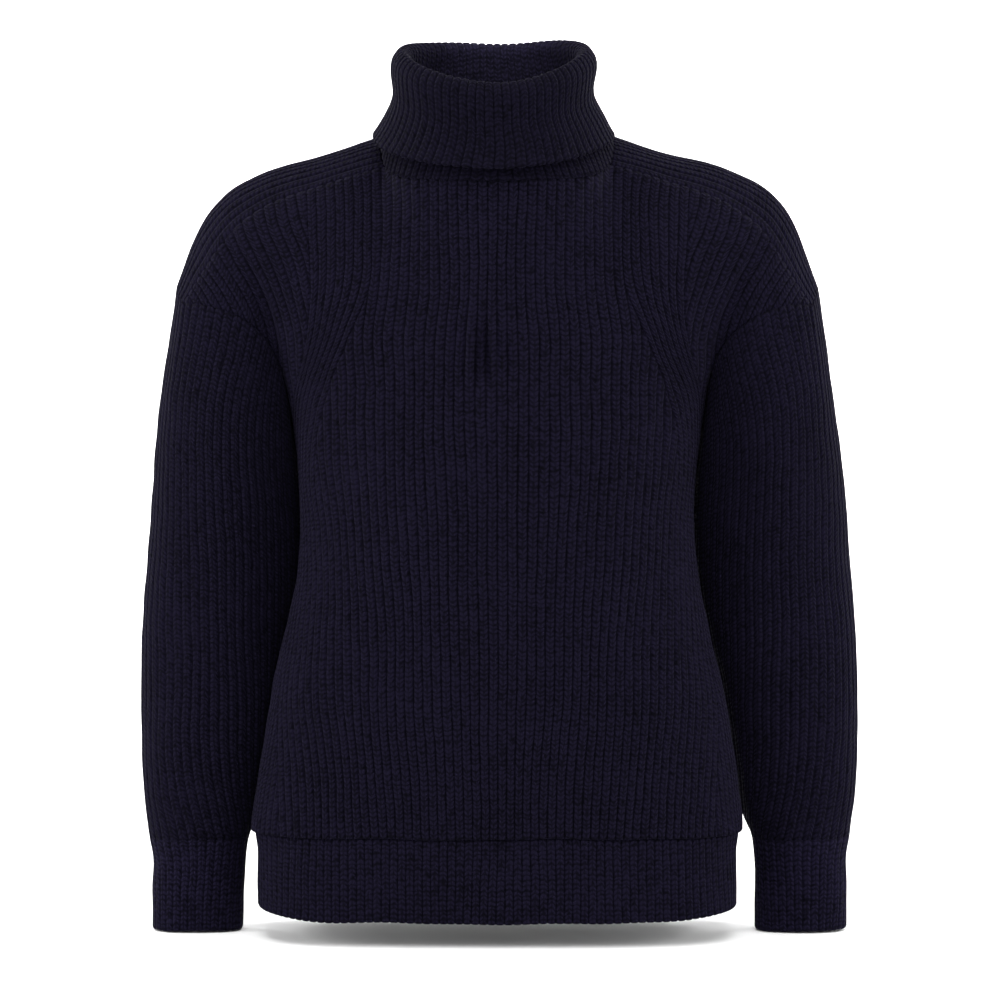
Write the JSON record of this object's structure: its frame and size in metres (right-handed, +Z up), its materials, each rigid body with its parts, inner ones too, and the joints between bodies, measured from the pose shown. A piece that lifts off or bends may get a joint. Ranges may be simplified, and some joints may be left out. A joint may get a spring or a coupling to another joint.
{
  "type": "turtleneck sweater",
  "caption": "Chunky rib-knit roll-neck sweater filled out as worn and hollow, with shoulder straps, long sleeves, ribbed cuffs and a ribbed hem.",
  "frame": {"origin": "on the centre line at the height where the wearer's shoulders meet the neck", "axes": "+Z up, the garment's front faces -Y, +X is the wearer's left"},
  "size_m": [0.5936, 0.2449, 0.7299],
  "materials": {
    "body_knit": "matt chunky rib knit in dark navy wool",
    "sleeve_knit": "matt chunky rib knit in dark navy wool",
    "collar_knit": "matt rib knit in dark navy wool, turned down over itself",
    "trim_knit": "matt fine rib knit in dark navy wool"
  },
  "bodies": {
    "root": {"front": "body_knit", "back": "body_knit", "saddle_left": "body_knit", "saddle_right": "body_knit", "sleeve_left": "sleeve_knit", "sleeve_right": "sleeve_knit", "collar": "collar_knit", "hem_rib": "trim_knit", "cuff_left": "trim_knit", "cuff_right": "trim_knit"}
  },
  "joints": []
}
